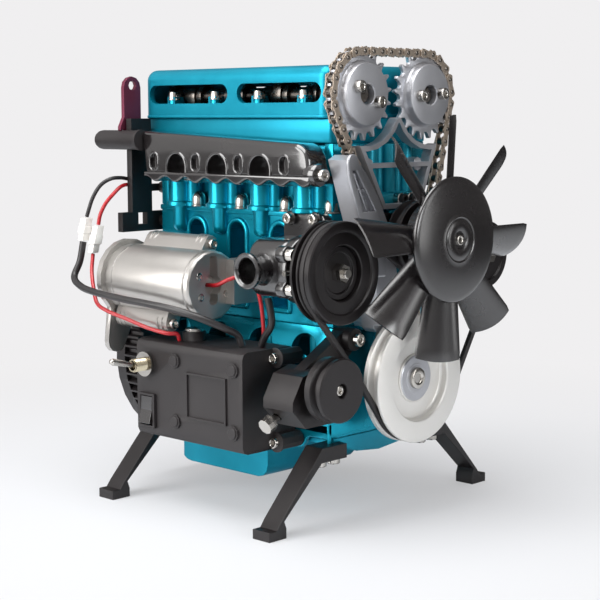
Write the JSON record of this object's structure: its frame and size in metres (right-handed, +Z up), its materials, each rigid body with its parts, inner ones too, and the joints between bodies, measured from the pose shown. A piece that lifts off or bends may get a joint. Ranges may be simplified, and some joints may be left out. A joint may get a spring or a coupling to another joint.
{
  "type": "four stroke engine model",
  "caption": "Inline twin cam four stroke display engine on four splayed legs, with a front fan, belt and chain drives, an electric motor and a battery box.",
  "frame": {"origin": "middle of the model's box at floor level, without its loose leads", "axes": "+Z up, -Y towards the fan, -X towards the exhaust manifold, motor and battery box"},
  "size_m": [0.1596, 0.1816, 0.2033],
  "materials": {
    "blue_satin": "satin blue anodised",
    "blue_bright": "bright blue anodised",
    "silver_alloy": "machined",
    "steel": "brushed",
    "black_metal": "black semi-gloss",
    "black_gloss": "black gloss",
    "black_plastic": "black matte",
    "maroon_alloy": "maroon anodised",
    "rubber": "matte",
    "red_insulation": "gloss",
    "white_plastic": "matte"
  },
  "bodies": {
    "engine": {"oil_pan": "blue_satin", "crankcase": "blue_bright", "cylinder_block": "blue_bright", "cylinder_head": "blue_bright", "cam_carrier": "blue_satin", "valve_cover": "blue_satin", "exhaust_manifold": "black_gloss", "exhaust_pipe": "black_plastic", "lifting_bracket": "maroon_alloy", "rear_bracket": "black_metal", "intake_manifold": "black_metal", "leg_front_left": "black_metal", "leg_front_right": "black_metal", "leg_rear_left": "black_metal", "leg_rear_right": "black_metal", "motor_housing": "silver_alloy", "battery_box": "black_plastic", "toggle_bushing": "steel", "rocker_frame": "black_plastic", "tension_screw": "steel", "idler_bracket": "black_metal", "pump_housing": "black_metal", "fan_bracket": "black_metal", "alternator": "black_metal", "drive_belt": "rubber", "timing_chain": "steel", "chain_guide": "silver_alloy", "chain_tensioner": "silver_alloy", "black_lead": "rubber", "red_lead": "red_insulation", "motor_lead": "red_insulation", "pump_hose": "rubber", "loop_lead_red": "red_insulation", "loop_lead_black": "rubber", "connector": "white_plastic"},
    "crank": {"crankshaft": "steel", "crank_pulley": "silver_alloy", "flywheel": "black_metal"},
    "exhaust_cam": {"exhaust_camshaft": "steel", "exhaust_sprocket": "silver_alloy"},
    "intake_cam": {"intake_camshaft": "steel", "intake_sprocket": "silver_alloy"},
    "fan_rotor": {"fan": "black_plastic", "fan_pulley": "black_metal"},
    "pump_rotor": {"pump_pulley": "black_metal"},
    "alternator_rotor": {"alternator_pulley": "black_metal"},
    "idler_wheel": {"idler_pulley": "black_plastic"},
    "reduction": {"reduction_gear": "steel"},
    "pinion": {"motor_pinion": "steel"},
    "toggle": {"toggle_lever": "steel"},
    "rocker": {"rocker_switch": "black_gloss"},
    "button": {"push_button": "steel"},
    "piston_1": {"piston_1": "silver_alloy"},
    "rod_1": {"rod_1": "steel"},
    "piston_2": {"piston_2": "silver_alloy"},
    "rod_2": {"rod_2": "steel"},
    "piston_3": {"piston_3": "silver_alloy"},
    "rod_3": {"rod_3": "steel"},
    "piston_4": {"piston_4": "silver_alloy"},
    "rod_4": {"rod_4": "steel"}
  },
  "joints": [
    {"name": "crank_spin", "type": "hinge", "parent": "engine", "child": "crank", "pos_m": [0.00686, 0.00025, 0.0615], "axis": [0, 1, 0], "continuous": true},
    {"name": "exhaust_cam_spin", "type": "hinge", "parent": "engine", "child": "exhaust_cam", "pos_m": [-0.01377, 0.00025, 0.1829], "axis": [0, 1, 0], "continuous": true},
    {"name": "intake_cam_spin", "type": "hinge", "parent": "engine", "child": "intake_cam", "pos_m": [0.02748, 0.00025, 0.1829], "axis": [0, 1, 0], "continuous": true},
    {"name": "fan_spin", "type": "hinge", "parent": "engine", "child": "fan_rotor", "pos_m": [0.00686, 0.00025, 0.1225], "axis": [0, 1, 0], "continuous": true},
    {"name": "pump_spin", "type": "hinge", "parent": "engine", "child": "pump_rotor", "pos_m": [-0.04254, 0.00025, 0.1109], "axis": [0, 1, 0], "continuous": true},
    {"name": "alternator_spin", "type": "hinge", "parent": "engine", "child": "alternator_rotor", "pos_m": [0.05286, 0.00025, 0.112], "axis": [0, 1, 0], "continuous": true},
    {"name": "idler_spin", "type": "hinge", "parent": "engine", "child": "idler_wheel", "pos_m": [-0.04344, 0.00025, 0.0628], "axis": [0, 1, 0], "continuous": true},
    {"name": "reduction_spin", "type": "hinge", "parent": "engine", "child": "reduction", "pos_m": [-0.04169, 0.00025, 0.08648], "axis": [0, 1, 0], "continuous": true},
    {"name": "pinion_spin", "type": "hinge", "parent": "engine", "child": "pinion", "pos_m": [-0.04864, 0.00025, 0.101], "axis": [0, 1, 0], "continuous": true},
    {"name": "piston_slide_1", "type": "slide", "parent": "engine", "child": "piston_1", "axis": [0, 0, 1], "range_m": [-0.016, 0]},
    {"name": "rod_swing_1", "type": "hinge", "parent": "piston_1", "child": "rod_1", "pos_m": [0.00686, -0.03045, 0.123], "axis": [0, 1, 0], "range_deg": [-8.6, 8.6]},
    {"name": "piston_slide_2", "type": "slide", "parent": "engine", "child": "piston_2", "axis": [0, 0, 1], "range_m": [0, 0.016]},
    {"name": "rod_swing_2", "type": "hinge", "parent": "piston_2", "child": "rod_2", "pos_m": [0.00686, -0.00365, 0.107], "axis": [0, 1, 0], "range_deg": [-8.6, 8.6]},
    {"name": "piston_slide_3", "type": "slide", "parent": "engine", "child": "piston_3", "axis": [0, 0, 1], "range_m": [0, 0.016]},
    {"name": "rod_swing_3", "type": "hinge", "parent": "piston_3", "child": "rod_3", "pos_m": [0.00686, 0.02315, 0.107], "axis": [0, 1, 0], "range_deg": [-8.6, 8.6]},
    {"name": "piston_slide_4", "type": "slide", "parent": "engine", "child": "piston_4", "axis": [0, 0, 1], "range_m": [-0.016, 0]},
    {"name": "rod_swing_4", "type": "hinge", "parent": "piston_4", "child": "rod_4", "pos_m": [0.00686, 0.04995, 0.123], "axis": [0, 1, 0], "range_deg": [-8.6, 8.6]},
    {"name": "toggle_tilt", "type": "hinge", "parent": "engine", "child": "toggle", "pos_m": [-0.06514, 0.03475, 0.0643], "axis": [0, 1, 0], "range_deg": [-26, 0]},
    {"name": "rocker_tilt", "type": "hinge", "parent": "engine", "child": "rocker", "pos_m": [-0.05814, 0.03455, 0.0433], "axis": [0, 1, 0], "range_deg": [-18, 0]},
    {"name": "button_press", "type": "slide", "parent": "engine", "child": "button", "axis": [0, 0, -1], "range_m": [0, 0.0016], "stiffness_N_per_m": 300, "springref_m": -0.002}
  ],
  "couplings": [
    {"joint": "exhaust_cam_spin", "follows": "crank_spin", "ratio": 0.5},
    {"joint": "intake_cam_spin", "follows": "crank_spin", "ratio": 0.5},
    {"joint": "fan_spin", "follows": "crank_spin", "ratio": -1.9231},
    {"joint": "pump_spin", "follows": "crank_spin", "ratio": 1.3736},
    {"joint": "alternator_spin", "follows": "crank_spin", "ratio": 2.0492},
    {"joint": "idler_spin", "follows": "crank_spin", "ratio": -2.2727},
    {"joint": "reduction_spin", "follows": "crank_spin", "ratio": -4.5714},
    {"joint": "pinion_spin", "follows": "crank_spin", "ratio": 7.1111}
  ]
}
